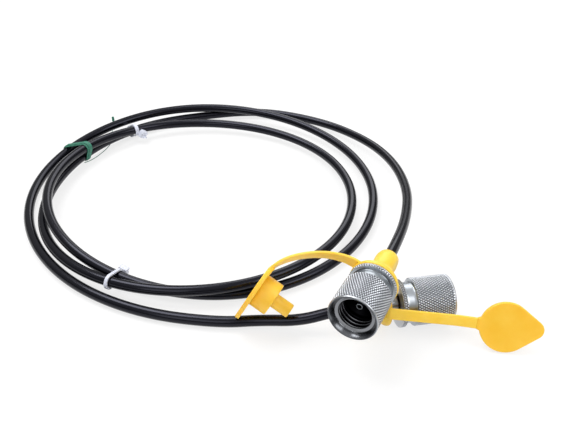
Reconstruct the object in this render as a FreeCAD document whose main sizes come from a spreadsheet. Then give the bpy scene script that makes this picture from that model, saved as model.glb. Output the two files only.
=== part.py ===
import FreeCAD, Part
import Sketcher
import math
import os
import re
from FreeCAD import Placement, Rotation, Vector

# A coiled micro-bore pressure test hose with a screw coupling and a dust cap at each end, held by
# two cable ties and a twist tie. Millimetres, +Z up, the ground at zero. The origin is on the ground
# below the middle of the two couplings with their caps, which lie in front of the coil.
# A coupling and its collar are turned about their own X axis, which runs from the mouth to the rear.

document = FreeCAD.newDocument("TestHose")
sheet = document.addObject("Spreadsheet::Sheet", "Sizes")

# Driving sizes
SIZES = {
    "hose_radius": 2.5,
    "hose_bore_radius": 1.0,
    "nut_radius": 10.5,
    "nut_length": 23.7,
    "groove_length": 4.6,
    "groove_radius": 8.9,
    "rear_band": 2.0,
    "rim_chamfer": 0.6,
    "rim_bevel": 0.4,
    "mouth_radius": 9.8,
    "mouth_depth": 1.8,
    "thread_radius": 6.92,
    "thread_length": 6.0,
    "relief_radius": 7.7,
    "relief_length": 4.5,
    "rear_wall": 4.3,
    "swivel_clearance": 0.1,
    "end_play": 0.2,
    "nose_length": 3.5,
    "nose_radius": 5.0,
    "seal_land": 0.7,
    "seal_groove_width": 2.0,
    "seal_groove_radius": 3.9,
    "seal_wire_radius": 0.9,
    "flange_radius": 6.6,
    "flange_thickness": 2.0,
    "shank_radius": 4.5,
    "ring_wire_radius": 0.5,
    "ring_setback": 1.8,
    "ring_groove_radius": 4.0,
    "ring_groove_half": 0.6,
    "pin_radius": 1.3,
    "pin_bore_radius": 0.6,
    "pin_reach": 5.7,
    "pin_seat_length": 4.0,
    "oil_bore_radius": 0.5,
    "tail_radius": 2.4,
    "ferrule_wall": 1.6,
    "barb_length": 14.0,
    "ferrule_radius": 4.0,
    "ferrule_play": 1.5,
    "collar_gap": 0.4,
    "collar_b_slide": 4.2,
    "collar_length": 20.0,
    "collar_flange_radius": 9.0,
    "collar_flange_length": 4.5,
    "collar_cone_length": 5.0,
    "collar_neck_radius": 5.25,
    "collar_lip": 1.5,
    "collar_end_bevel": 1.2,
    "lip_clearance": 0.4,
    "collar_facet": 4.6,
    "collar_facet_start": 6.5,
    "fit_clearance": 0.05,
    "disc_radius": 11.0,
    "disc_thickness": 2.0,
    "plug_radius": 7.4,
    "plug_length": 7.9,
    "stem_radius": 3.15,
    "stem_length": 8.3,
    "stem_bore_radius": 1.6,
    "stem_bore_depth": 7.5,
    "tab_reach": 15.8,
    "tab_tip_radius": 4.0,
    "strap_width": 4.8,
    "strap_thickness": 1.2,
    "hinge_offset": 1.5,
    "hinge_clearance": 0.1,
    "seat_wall": 0.4,
    "cap_lug_root": 2.0,
    "collar_lug_length": 5.0,
    "collar_lug_bridge": 3.2,
    "collar_lug_step": 1.5,
    "tie_thickness": 0.8,
    "tie_width": 2.5,
    "tie_clearance": 0.3,
    "tie_head_length": 4.6,
    "tie_head_width": 4.6,
    "tie_head_height": 3.2,
    "tie_tail_length": 2.0,
    "ribbon_clearance": 0.5,
    "ribbon_thickness": 0.5,
    "ribbon_width": 4.6,
    "twist_wire_radius": 0.35,
    "twist_end_width": 1.8,
    "twist_end_thickness": 1.0,
    "twist_end_length": 6.0,
}
for row, (name, value) in enumerate(SIZES.items(), start=1):
    sheet.set(f"A{row}", name)
    sheet.set(f"B{row}", str(value))
    sheet.setAlias(f"B{row}", name)
document.recompute()


def size(name):
    """The size that the sheet holds under this name."""
    return float(sheet.get(name))


def amount(text):
    """The value of a sum of named sizes and numbers, such as 'nut_length - rear_band'."""
    total = 0.0
    sign = 1
    for word in text.split():
        if word in "+-":
            sign = 1 if word == "+" else -1
        else:
            total += sign * (size(word) if word in SIZES else float(word))
    return total


def bound(text):
    """The same sum as an expression that reads the sheet."""
    return re.sub(r"[a-z_]{3,}", lambda found: "Sizes." + found.group(0), text)


# How far a cutting tool reaches past what it cuts
OVERSHOOT = 1.0

# Places, in the part's frame
HOSE_REST = size("hose_radius") + size("tie_thickness") + size("tie_clearance")
COLLAR_FRONT = {"a": Vector(-7.64, 1.18, 28.06), "b": Vector(0.32, 7.99, size("nut_radius"))}
REARWARD = {"a": (24.73, -2.05), "b": (258.0, 0.0)}
CAP_CENTRE = {"a": Vector(-55.7, 6.5, 19.4), "b": Vector(49.3, -3.9, 10.45)}
PLUG_DIRECTION = {"a": Vector(0.835, -0.342, -0.431), "b": Vector(0.091, 0.905, -0.415)}
STRAP_AWAY = {"a": Vector(-0.537, -0.337, -0.773), "b": Vector(0.991, -0.122, -0.048)}
TAB_LEAN = {"a": 0.0, "b": -3.0}
COIL_CENTRE = Vector(-89.5, 101.5, 0)


def direction(azimuth, elevation):
    """Unit vector from a bearing off +Y towards +X and a rise off the ground, in degrees."""
    turn = math.radians(azimuth)
    rise = math.radians(elevation)
    flat = math.cos(rise)
    return Vector(math.sin(turn) * flat, math.cos(turn) * flat, math.sin(rise))


def collar_depth(end):
    """How deep behind its mouth a coupling's collar starts. The second collar has slid back a little."""
    return size("nut_length") + size("collar_gap") + (size("collar_b_slide") if end == "b" else 0)


def along_coupling(end, depth):
    """The point on a coupling's axis this deep behind its mouth."""
    return COLLAR_FRONT[end] + direction(*REARWARD[end]) * (depth - collar_depth(end))


def coupling_place(end, depth=0.0):
    """Placement whose X axis runs rearwards along a coupling, at a depth behind the mouth."""
    rearward = direction(*REARWARD[end])
    return Placement(along_coupling(end, depth), Rotation(rearward, Vector(0, 0, 0), Vector(0, 0, 1), "XZY"))


def cap_place(end):
    """Placement of a dust cap: X along its plug, Y away from its strap, at the middle of its disc."""
    return Placement(CAP_CENTRE[end], Rotation(PLUG_DIRECTION[end], STRAP_AWAY[end], Vector(0, 0, 0), "XYZ"))


# The sub-parts that are written out, by node name
nodes = {}


def keep(name, item):
    """Give an object its node name and list it for export."""
    item.Label = name
    nodes[name] = item
    return item


def origin_plane(body, role):
    """One of a body's own origin planes."""
    return next(item for item in body.Origin.OriginFeatures if item.Role == role)


def turned(name, outline):
    """Body turned about its X axis from an outline of (depth, radius) sums, bound to the sheet."""
    body = document.addObject("PartDesign::Body", name)
    sketch = body.newObject("Sketcher::SketchObject", name + "_outline")
    sketch.AttachmentSupport = (origin_plane(body, "XY_Plane"), [""])
    sketch.MapMode = "FlatFace"
    corners = [Vector(amount(depth), amount(radius), 0) for depth, radius in outline]
    for start, end in zip(corners, corners[1:] + corners[:1]):
        sketch.addGeometry(Part.LineSegment(start, end), False)
    count = len(corners)
    for index, (depth, radius) in enumerate(outline):
        sketch.addConstraint(Sketcher.Constraint("Coincident", index, 2, (index + 1) % count, 1))
        if corners[index].x == 0:
            sketch.addConstraint(Sketcher.Constraint("PointOnObject", index, 1, -2))
        else:
            which = sketch.addConstraint(Sketcher.Constraint("DistanceX", -1, 1, index, 1, corners[index].x))
            sketch.setExpression(f"Constraints[{which}]", bound(depth))
        if corners[index].y == 0:
            sketch.addConstraint(Sketcher.Constraint("PointOnObject", index, 1, -1))
        else:
            which = sketch.addConstraint(Sketcher.Constraint("DistanceY", -1, 1, index, 1, corners[index].y))
            sketch.setExpression(f"Constraints[{which}]", bound(radius))
    solid = body.newObject("PartDesign::Revolution", name + "_turned")
    solid.Profile = sketch
    solid.ReferenceAxis = (sketch, ["H_Axis"])
    solid.Angle = 360
    sketch.Visibility = False
    document.recompute()
    return body


def ring(name, wire_radius, centre_radius_sum):
    """Torus about its X axis, bound to the sheet."""
    item = document.addObject("Part::Torus", name)
    item.setExpression("Radius1", bound(centre_radius_sum))
    item.setExpression("Radius2", bound(wire_radius))
    document.recompute()
    return item


def shaped(name, shape):
    """Object that carries a shape worked out from the sheet's sizes."""
    item = document.addObject("Part::Feature", name)
    item.Shape = shape
    return item


def joined(name, first, *others):
    """Union of objects, as a feature that stays linked to them."""
    item = document.addObject("Part::MultiFuse", name)
    item.Shapes = [first, *others]
    document.recompute()
    return item


def cut_by(name, first, tool):
    """First object less the tool, as a feature that stays linked to them."""
    item = document.addObject("Part::Cut", name)
    item.Base = first
    item.Tool = tool
    document.recompute()
    return item


# Depths behind the mouth that several pieces share
KNURL_END = "nut_length - rear_band - groove_length"
THREAD_END = "mouth_depth + thread_length"
RELIEF_END = "mouth_depth + thread_length + relief_length"
SHOULDER = "nut_length - rear_wall"
RING = "nut_length - ring_setback"
FLANGE_REAR = SHOULDER + " - end_play"
FLANGE_FRONT = FLANGE_REAR + " - flange_thickness"
NOSE = FLANGE_FRONT + " - nose_length"
SEAL_FRONT = NOSE + " + seal_land"
TAIL = "nut_length + collar_gap"
HOSE_END = TAIL + " + ferrule_wall"

# Coupling nut: knurled screw sleeve with a countersunk mouth, its thread's minor bore, a relief and a
# shoulder that catches the core's flange, free to turn on the core
NUT_OUTLINE = [
    ("0", "mouth_radius"),
    ("0", "nut_radius - rim_bevel"),
    ("rim_chamfer", "nut_radius"),
    (KNURL_END, "nut_radius"),
    (KNURL_END, "groove_radius"),
    ("nut_length - rear_band", "groove_radius"),
    ("nut_length - rear_band", "nut_radius"),
    ("nut_length - rim_chamfer", "nut_radius"),
    ("nut_length", "nut_radius - rim_chamfer"),
    ("nut_length", "shank_radius + swivel_clearance"),
    (RING + " + ring_groove_half", "shank_radius + swivel_clearance"),
    (RING + " + ring_groove_half", "shank_radius + ring_wire_radius + ring_groove_half"),
    (RING + " - ring_groove_half", "shank_radius + ring_wire_radius + ring_groove_half"),
    (RING + " - ring_groove_half", "shank_radius + swivel_clearance"),
    (SHOULDER, "shank_radius + swivel_clearance"),
    (SHOULDER, "thread_radius"),
    (RELIEF_END, "thread_radius"),
    (RELIEF_END, "relief_radius"),
    (THREAD_END, "relief_radius"),
    (THREAD_END, "thread_radius"),
    ("mouth_depth", "thread_radius"),
]

# Coupling core: nose with its seal groove, flange, shank and a barb that is pushed into the hose
CORE_OUTLINE = [
    (NOSE, "pin_radius"),
    (NOSE, "nose_radius"),
    (SEAL_FRONT, "nose_radius"),
    (SEAL_FRONT, "seal_groove_radius"),
    (SEAL_FRONT + " + seal_groove_width", "seal_groove_radius"),
    (SEAL_FRONT + " + seal_groove_width", "nose_radius"),
    (FLANGE_FRONT, "nose_radius"),
    (FLANGE_FRONT, "flange_radius"),
    (FLANGE_REAR, "flange_radius"),
    (FLANGE_REAR, "shank_radius"),
    (RING + " - ring_groove_half", "shank_radius"),
    (RING + " - ring_groove_half", "ring_groove_radius"),
    (RING + " + ring_groove_half", "ring_groove_radius"),
    (RING + " + ring_groove_half", "shank_radius"),
    (TAIL, "shank_radius"),
    (TAIL, "tail_radius"),
    (HOSE_END, "tail_radius"),
    (HOSE_END, "hose_bore_radius"),
    (HOSE_END + " + barb_length", "hose_bore_radius"),
    (HOSE_END + " + barb_length", "oil_bore_radius"),
    (NOSE + " + pin_seat_length", "oil_bore_radius"),
    (NOSE + " + pin_seat_length", "pin_radius"),
]

# Probe pin: the hollow pin that opens a test point's valve, pressed into the nose
PIN_OUTLINE = [
    (NOSE + " - pin_reach", "pin_bore_radius"),
    (NOSE + " - pin_reach", "pin_radius"),
    (NOSE + " + pin_seat_length", "pin_radius"),
    (NOSE + " + pin_seat_length", "pin_bore_radius"),
]

# Crimp ferrule: the sleeve that grips the hose on the barb. It ends short of the collar's lip.
FERRULE_END = TAIL + " + collar_length - collar_lip - ferrule_play"
FERRULE_OUTLINE = [
    (TAIL, "tail_radius"),
    (TAIL, "ferrule_radius"),
    (FERRULE_END, "ferrule_radius"),
    (FERRULE_END, "hose_radius"),
    (HOSE_END, "hose_radius"),
    (HOSE_END, "tail_radius"),
]

for end in "ab":
    place = coupling_place(end)
    for name, outline in (
        ("coupling_nut", NUT_OUTLINE),
        ("coupling_core", CORE_OUTLINE),
        ("probe_pin", PIN_OUTLINE),
        ("crimp_ferrule", FERRULE_OUTLINE),
    ):
        keep(f"{name}_{end}", turned(f"{name}_{end}", outline)).Placement = place
    seal = ring(f"core_seal_{end}", "seal_wire_radius", "seal_groove_radius + seal_wire_radius + fit_clearance")
    keep(f"core_seal_{end}", seal).Placement = Placement(
        along_coupling(end, amount(SEAL_FRONT) + size("seal_groove_width") / 2),
        place.Rotation * Rotation(Vector(0, 0, 1), Vector(1, 0, 0)),
    )
    wire = ring(f"retaining_ring_{end}", "ring_wire_radius", "ring_groove_radius + ring_wire_radius + fit_clearance")
    keep(f"retaining_ring_{end}", wire).Placement = Placement(
        along_coupling(end, amount(RING)),
        place.Rotation * Rotation(Vector(0, 0, 1), Vector(1, 0, 0)),
    )

# Cap collar and strap: the yellow moulding grips the ferrule behind the nut and carries the cap's
# strap. The moulding is one piece in the real part; here it parts at its two bending places, each a
# rounded strap end in a hollow seat, so that the strap and the cap can bend as the real ones do.
COLLAR_OUTLINE = [
    ("0", "ferrule_radius + fit_clearance"),
    ("0", "collar_flange_radius"),
    ("collar_flange_length", "collar_flange_radius"),
    ("collar_flange_length + collar_cone_length", "collar_neck_radius"),
    ("collar_length - collar_end_bevel", "collar_neck_radius"),
    ("collar_length", "collar_neck_radius - collar_end_bevel"),
    ("collar_length", "hose_radius + lip_clearance"),
    ("collar_length - collar_lip", "hose_radius + lip_clearance"),
    ("collar_length - collar_lip", "ferrule_radius + fit_clearance"),
]

# Dust cap: disc, smooth plug that presses into the thread, and hollow stem that slips over the pin
CAP_OUTLINE = [
    ("0", "0"),
    ("0", "disc_radius"),
    ("disc_thickness", "disc_radius"),
    ("disc_thickness", "plug_radius"),
    ("disc_thickness + plug_length", "plug_radius"),
    ("disc_thickness + plug_length", "stem_radius"),
    ("disc_thickness + plug_length + stem_length", "stem_radius"),
    ("disc_thickness + plug_length + stem_length", "stem_bore_radius"),
    ("disc_thickness + plug_length + stem_length - stem_bore_depth", "stem_bore_radius"),
    ("disc_thickness + plug_length + stem_length - stem_bore_depth", "0"),
]

# A strap leaves the disc's edge straight, bends towards the plug's side and runs on to the collar:
# straight lead, bend radius, bend angle in degrees, straight run
STRAP_BEND = {"a": (1.66, 14.0, 74.0, 17.95), "b": (2.4, 60.0, -8.5, 26.0)}


def strap_line(end):
    """Centre line of a strap in its cap's frame: hinge, bend start, bend middle, bend end, far hinge."""
    lead, radius, angle, run = STRAP_BEND[end]
    start = Vector(0, -size("disc_radius") - size("hinge_offset"), 0)
    bend_start = start + Vector(0, -lead, 0)
    side = 1 if angle > 0 else -1
    centre = bend_start + Vector(side * radius, 0, 0)

    def on_bend(degrees):
        turn = math.radians(abs(degrees))
        return centre + Vector(-side * radius * math.cos(turn), -radius * math.sin(turn), 0)

    turn = math.radians(abs(angle))
    heading = Vector(side * math.sin(turn), -math.cos(turn), 0)
    return start, bend_start, on_bend(angle / 2), on_bend(angle), on_bend(angle) + heading * run


def strap_shape(end):
    """Flat strap along its line, as wide as it is pressed out, with both ends rounded for the seats."""
    half = size("strap_thickness") / 2
    start, bend_start, bend_middle, bend_end, far = strap_line(end)
    side = 1 if STRAP_BEND[end][2] > 0 else -1
    centre = bend_start + Vector(side * STRAP_BEND[end][1], 0, 0)
    heading = (far - bend_end).normalize()
    across = Vector(side * -heading.y, side * heading.x, 0)
    inward = Vector(side, 0, 0)

    def shifted(point, amount_out):
        return point + (point - centre).normalize() * amount_out

    edges = [
        Part.LineSegment(start - inward * half, bend_start - inward * half),
        Part.Arc(shifted(bend_start, half), shifted(bend_middle, half), shifted(bend_end, half)),
        Part.LineSegment(shifted(bend_end, half), far - across * half),
        Part.Arc(far - across * half, far + heading * half, far + across * half),
        Part.LineSegment(far + across * half, shifted(bend_end, -half)),
        Part.Arc(shifted(bend_end, -half), shifted(bend_middle, -half), shifted(bend_start, -half)),
        Part.LineSegment(bend_start + inward * half, start + inward * half),
        Part.Arc(start + inward * half, start + Vector(0, half, 0), start - inward * half),
    ]
    face = Part.Face(Part.Wire([edge.toShape() for edge in edges]))
    solid = face.extrude(Vector(0, 0, size("strap_width")))
    solid.translate(Vector(0, 0, -size("strap_width") / 2))
    return solid


def seat_cylinder(name, point):
    """Tool that hollows a seat for a strap's rounded end, wider than the strap at both sides."""
    radius = size("strap_thickness") / 2 + size("hinge_clearance")
    width = size("strap_width") + 2 * OVERSHOOT
    return shaped(name, Part.makeCylinder(radius, width, point - Vector(0, 0, width / 2)))


for end in "ab":
    # the cap's outer face lies half a disc's thickness outwards of the place that the cap is held by
    body = turned(f"cap_turned_{end}", CAP_OUTLINE)
    body.Placement = Placement(Vector(-size("disc_thickness") / 2, 0, 0), Rotation())
    reach = size("tab_reach") - size("tab_tip_radius")
    tip = size("tab_tip_radius")
    lean = math.acos((size("disc_radius") - tip) / reach)
    flank = Vector(0, math.cos(lean), math.sin(lean))
    mirrored = Vector(0, flank.y, -flank.z)
    tab_outline = Part.Wire([
        Part.makeLine(flank * size("disc_radius"), Vector(0, reach, 0) + flank * tip),
        Part.Arc(
            Vector(0, reach, 0) + flank * tip, Vector(0, reach + tip, 0), Vector(0, reach, 0) + mirrored * tip
        ).toShape(),
        Part.makeLine(Vector(0, reach, 0) + mirrored * tip, mirrored * size("disc_radius")),
        Part.makeLine(mirrored * size("disc_radius"), flank * size("disc_radius")),
    ])
    tab_solid = Part.Face(tab_outline).extrude(Vector(size("disc_thickness"), 0, 0))
    tab_solid.translate(Vector(-size("disc_thickness") / 2, 0, 0))
    tab_solid.rotate(Vector(0, 0, 0), Vector(1, 0, 0), TAB_LEAN[end])
    tab = shaped(f"cap_tab_{end}", tab_solid)
    lug = document.addObject("Part::Box", f"cap_lug_{end}")
    lug.setExpression("Length", "Sizes.disc_thickness")
    lug.setExpression("Width", "Sizes.hinge_offset + Sizes.cap_lug_root")
    lug.setExpression("Height", "Sizes.strap_width")
    lug.Placement = Placement(
        Vector(-size("disc_thickness") / 2, -size("disc_radius") - size("hinge_offset"), -size("strap_width") / 2),
        Rotation(),
    )
    whole = joined(f"cap_whole_{end}", body, tab, lug)
    line = strap_line(end)
    keep(f"dust_cap_{end}", cut_by(f"dust_cap_{end}", whole, seat_cylinder(f"cap_seat_{end}", line[0])))
    nodes[f"dust_cap_{end}"].Placement = cap_place(end)
    strap = keep(f"cap_strap_{end}", shaped(f"cap_strap_{end}", strap_shape(end)))
    strap.Placement = cap_place(end)

    # the collar's lug is drawn in the collar's own frame from where the strap ends
    place = coupling_place(end, collar_depth(end))
    to_collar = place.inverse()
    root = to_collar.multVec(cap_place(end).multVec(line[4]))
    onwards = to_collar.Rotation.multVec(cap_place(end).Rotation.multVec((line[4] - line[3]).normalize()))
    hinge_axis = to_collar.Rotation.multVec(cap_place(end).Rotation.multVec(Vector(0, 0, 1)))
    turn = Rotation(onwards, Vector(0, 0, 0), hinge_axis, "ZXY")
    width = size("strap_width")
    thick = size("strap_thickness") + 2 * size("seat_wall")
    inward = 1 if turn.multVec(Vector(0, 1, 0)).dot(Vector(0, root.y, root.z)) < 0 else -1
    lug_length = size("collar_lug_length")
    step = size("collar_lug_step")
    root_lug = Part.makeBox(lug_length, thick, width, Vector(0, -thick / 2, -width / 2))
    bridge_low = min(-thick / 2, inward * size("collar_lug_bridge"))
    bridge_high = max(thick / 2, inward * size("collar_lug_bridge"))
    bridge = Part.makeBox(lug_length - step, bridge_high - bridge_low, width, Vector(step, bridge_low, -width / 2))
    root_lug = root_lug.fuse(bridge).removeSplitter()
    root_lug.Placement = Placement(root, turn)
    seat_radius = size("strap_thickness") / 2 + size("hinge_clearance")
    seat_tool = Part.makeCylinder(seat_radius, width + 2 * OVERSHOOT, Vector(0, 0, -width / 2 - OVERSHOOT))
    seat_tool.Placement = Placement(root, turn)
    inside = Part.makeCylinder(size("collar_neck_radius"), size("collar_length"), Vector(0, 0, 0), Vector(1, 0, 0))
    reach = size("nut_radius")
    before = Part.makeCylinder(2 * reach, reach, Vector(-reach, 0, 0), Vector(1, 0, 0))
    lug_item = shaped(f"collar_lug_{end}", root_lug.cut(inside).cut(before))
    shell = turned(f"collar_turned_{end}", COLLAR_OUTLINE)
    facet = document.addObject("Part::Box", f"collar_facet_{end}")
    facet.setExpression("Length", "Sizes.collar_length")
    facet.setExpression("Width", "Sizes.collar_flange_radius")
    facet.setExpression("Height", "2 * Sizes.collar_flange_radius")
    facet.Placement = Placement(
        Vector(
            size("collar_facet_start"),
            -size("collar_facet") - size("collar_flange_radius"),
            -size("collar_flange_radius"),
        ),
        Rotation(),
    )
    flatted = cut_by(f"collar_flatted_{end}", shell, facet)
    with_lug = joined(f"collar_whole_{end}", flatted, lug_item)
    seat = shaped(f"collar_seat_{end}", seat_tool)
    keep(f"cap_collar_{end}", cut_by(f"cap_collar_{end}", with_lug, seat)).Placement = place


# The hose. Its coil is worked out from one row for each quarter turn: distance from the coil's middle,
# height above the hose's rest, and outward slope for each radian, as the loops lie in the photograph.
# The first turn climbs over the second at the front, the second lies on the first at the left, and
# the third crosses over the first at the back and then drops to the ground. Between rows the line is
# a biarc.
COIL_START_BEARING = 100.0
QUARTER_TURNS = [
    (90.0, 0.0, -8.1),
    (83.0, 1.6, 10.1),
    (84.6, 4.6, -3.3),
    (80.9, 1.1, 0.2),
    (77.2, 2.4, 8.5),
    (80.8, 9.1, 4.0),
    (82.5, -1.0, 11.7),
    (93.9, 0.3, 5.3),
    (91.8, 5.8, 1.7),
    (92.0, -0.8, -5.0),
    (99.8, -0.6, 17.0),
]
COIL_TAIL = 2 * size("hose_radius")


def station(index):
    """Point and unit heading of the coil at the start of one quarter turn."""
    radius, height, slope = QUARTER_TURNS[index]
    bearing = math.radians(COIL_START_BEARING + 90 * index)
    outward = Vector(math.cos(bearing), math.sin(bearing), 0)
    onward = Vector(-math.sin(bearing), math.cos(bearing), 0)
    point = COIL_CENTRE + outward * radius + Vector(0, 0, HOSE_REST + height)
    return point, (onward * radius + outward * slope).normalize()


def biarc(start, start_heading, end, end_heading):
    """Two tangent arcs from one heading to another, each given by its start, corner and end."""
    span = end - start
    both = start_heading + end_heading
    square = 2 * (start_heading.dot(end_heading) - 1)
    linear = -2 * span.dot(both)
    constant = span.dot(span)
    reach = (-linear - math.sqrt(linear * linear - 4 * square * constant)) / (2 * square)
    if reach < 0:
        reach = (-linear + math.sqrt(linear * linear - 4 * square * constant)) / (2 * square)
    first = start + start_heading * reach
    second = end - end_heading * reach
    middle = (first + second) * 0.5
    return [(start, first, middle), (middle, second, end)]


def arc_point(start, corner, end, share):
    """The point at a share of the arc that touches both legs of a corner, and the arc's radius."""
    back = (start - corner).normalize()
    ahead = (end - corner).normalize()
    turn = math.pi - back.getAngle(ahead)
    radius = (start - corner).Length / math.tan(turn / 2)
    centre = corner + (back + ahead).normalize() * (radius / math.cos(turn / 2))
    spoke = (start - centre).normalize()
    swing = back * -1
    angle = turn * share
    return centre + spoke * (radius * math.cos(angle)) + swing * (radius * math.sin(angle)), radius


def arc_edge(start, corner, end):
    """The edge of such an arc."""
    return Part.Arc(start, arc_point(start, corner, end, 0.5)[0], end).toShape()


def tube(wire, heading, start, radius):
    """Round solid along a wire."""
    section = Part.Wire(Part.Circle(start, heading, radius).toShape())
    return wire.makePipeShell([section], True, False)


# Coil: the stations' biarcs, with a straight end as long as the hose is thick at each end
coil_edges = []
coil_points = []
coil_radii = []
first_point, first_heading = station(0)
last_point, last_heading = station(len(QUARTER_TURNS) - 1)
coil_entry = first_point - first_heading * COIL_TAIL
coil_exit = last_point + last_heading * COIL_TAIL
coil_edges.append(Part.makeLine(coil_entry, first_point))
for index in range(len(QUARTER_TURNS) - 1):
    for corner in biarc(*station(index), *station(index + 1)):
        coil_edges.append(arc_edge(*corner))
        coil_radii.append(arc_point(*corner, 0.5)[1])
        coil_points += [arc_point(*corner, share / 24)[0] for share in range(24)]
coil_edges.append(Part.makeLine(last_point, coil_exit))
coil_solid = tube(Part.Wire(coil_edges), first_heading, coil_entry, size("hose_radius"))
keep("hose_coil", shaped("hose_coil", coil_solid))

coil_length = sum((b - a).Length for a, b in zip(coil_points, coil_points[1:])) + 2 * COIL_TAIL
least = min(
    (coil_points[i] - coil_points[j]).Length
    for i in range(0, len(coil_points), 2)
    for j in range(i + 20, len(coil_points))
)
print(f"coil length {coil_length:.0f}, tightest bend {min(coil_radii):.1f}, "
      f"least gap to itself {least - 2 * size('hose_radius'):.2f}")
section_area = math.pi * size("hose_radius") ** 2
print(f"coil volume {coil_solid.Volume:.0f}, section times length {section_area * coil_length:.0f}")

# Free stretches: straight runs joined by tangent arcs, through corners chosen by hand. Each leaves its
# collar straight for a short way and meets the coil's end in a straight run.
LEAD_STRAIGHT = {"a": 6.0, "b": 2.6}
LAST_RUN = {"a": 33.0, "b": 12.0}
LEAD_A_CORNERS = [
    along_coupling("a", amount(HOSE_END)),
    along_coupling("a", collar_depth("a") + size("collar_length") + LEAD_STRAIGHT["a"]),
    Vector(13.8, 56.6, 21.6),
    Vector(19.8, 92.4, 16.0),
    Vector(16.4, 129.7, 11.0),
    Vector(3.0, 162.1, 6.6),
    Vector(-23.7, 189.4, 3.8),
    coil_entry - first_heading * LAST_RUN["a"],
    coil_entry,
]
LEAD_B_CORNERS = [
    along_coupling("b", amount(HOSE_END)),
    along_coupling("b", collar_depth("b") + size("collar_length") + LEAD_STRAIGHT["b"]),
    Vector(-36.8, 1.6, 5.8),
    coil_exit + last_heading * LAST_RUN["b"],
    coil_exit,
]


def bent_tube(corners, tube_radius):
    """Round solid through corners, each arc as large as its two runs allow, its length and its bends."""
    edges = []
    radii = []
    length = 0.0
    here = corners[0]
    for before, corner, after in zip(corners, corners[1:], corners[2:]):
        back = (before - corner).normalize()
        ahead = (after - corner).normalize()
        turn = math.pi - back.getAngle(ahead)
        reach = 0.45 * min((before - corner).Length, (after - corner).Length)
        start = corner + back * reach
        end = corner + ahead * reach
        edges.append(Part.makeLine(here, start))
        edges.append(arc_edge(start, corner, end))
        radii.append(reach / math.tan(turn / 2))
        length += (start - here).Length + radii[-1] * turn
        here = end
    edges.append(Part.makeLine(here, corners[-1]))
    length += (corners[-1] - here).Length
    return tube(Part.Wire(edges), corners[1] - corners[0], corners[0], tube_radius), length, radii


def lead(name, corners):
    """Hose stretch through the corners, with its bore where the barb fills it."""
    solid, length, radii = bent_tube(corners, size("hose_radius"))
    print(f"{name} length {length:.0f}, bends {[round(radius) for radius in radii]}, "
          f"volume {solid.Volume:.0f}, section times length {section_area * length:.0f}")
    inward = (corners[1] - corners[0]).normalize()
    bore = Part.makeCylinder(size("hose_bore_radius"), size("barb_length"), corners[0], inward)
    keep(name, shaped(name, solid.cut(bore)))
    return length


hose_length = coil_length + lead("hose_lead_a", LEAD_A_CORNERS) + lead("hose_lead_b", LEAD_B_CORNERS)
print(f"whole hose {hose_length:.0f}")


# Ties: each is a band round the strands that it holds, drawn across them at one bearing
def strands_at(bearing, turns):
    """The coil's crossings of one bearing on the turns named, as distance from the middle and height."""
    crossings = []
    for turn in turns:
        wanted = bearing + 360 * turn
        angle = COIL_START_BEARING
        previous = coil_points[0]
        for point in coil_points[1:]:
            flat_before = math.atan2(previous.y - COIL_CENTRE.y, previous.x - COIL_CENTRE.x)
            flat_after = math.atan2(point.y - COIL_CENTRE.y, point.x - COIL_CENTRE.x)
            step = math.degrees((flat_after - flat_before) % (2 * math.pi))
            if angle <= wanted < angle + step:
                crossings.append(Vector(math.hypot(point.x - COIL_CENTRE.x, point.y - COIL_CENTRE.y), point.z, 0))
            angle += step
            previous = point
    return crossings


def band_outline(centres, radius):
    """Closed outline that touches circles of one radius round centres given anticlockwise."""
    edges = []
    count = len(centres)
    for index, centre in enumerate(centres):
        into = (centre - centres[index - 1]).normalize()
        out = (centres[(index + 1) % count] - centre).normalize()
        before = Vector(into.y, -into.x, 0)
        after = Vector(out.y, -out.x, 0)
        halfway = before + after
        halfway = halfway.normalize() if halfway.Length > 0.01 else into
        edges.append(Part.Arc(centre + before * radius, centre + halfway * radius, centre + after * radius).toShape())
        follower = centres[(index + 1) % count]
        edges.append(Part.makeLine(centre + after * radius, follower + after * radius))
    return Part.Wire(edges)


def band(centres, clearance, thickness, width):
    """Band of a thickness and a width round the strands at these centres, centred on its own plane."""
    inner = size("hose_radius") + clearance
    outside = Part.Face(band_outline(centres, inner + thickness))
    inside = Part.Face(band_outline(centres, inner))
    solid = outside.cut(inside).extrude(Vector(0, 0, width))
    solid.translate(Vector(0, 0, -width / 2))
    return solid


def across_coil(bearing):
    """Placement whose X axis runs out from the coil's middle at a bearing and whose Y axis is up."""
    turn = math.radians(bearing)
    outward = Vector(math.cos(turn), math.sin(turn), 0)
    return Placement(COIL_CENTRE, Rotation(outward, Vector(0, 0, 1), Vector(0, 0, 0), "XYZ"))


def cable_tie(name, bearing, head_bearing):
    """Nylon tie round the first two turns. Its head sits on the inner strand, at a bearing round that
    strand from straight outwards over the top, and its cut tail stands on the head."""
    inner, outer = strands_at(bearing, (1, 0))
    solid = band([inner, outer], size("tie_clearance"), size("tie_thickness"), size("tie_width"))
    turn = math.radians(head_bearing)
    outward = Vector(math.cos(turn), math.sin(turn), 0)
    along = Vector(-outward.y, outward.x, 0)
    base = inner + outward * (size("hose_radius") + size("tie_clearance") + size("tie_thickness") / 2)
    length = size("tie_head_length")
    head = Part.makeBox(length, size("tie_head_height"), size("tie_head_width"),
                        Vector(-length / 2, 0, -size("tie_head_width") / 2))
    tail = Part.makeBox(size("tie_thickness"), size("tie_tail_length"), size("tie_width"),
                        Vector(-size("tie_thickness") / 2, size("tie_head_height"), -size("tie_width") / 2))
    topping = head.fuse(tail)
    topping.Placement = Placement(base, Rotation(along, outward, Vector(0, 0, 0), "XYZ"))
    keep(name, shaped(name, solid.fuse(topping).removeSplitter())).Placement = across_coil(bearing)


cable_tie("cable_tie_back", 128.0, 200.0)
cable_tie("cable_tie_front", 247.0, 165.0)

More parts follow.
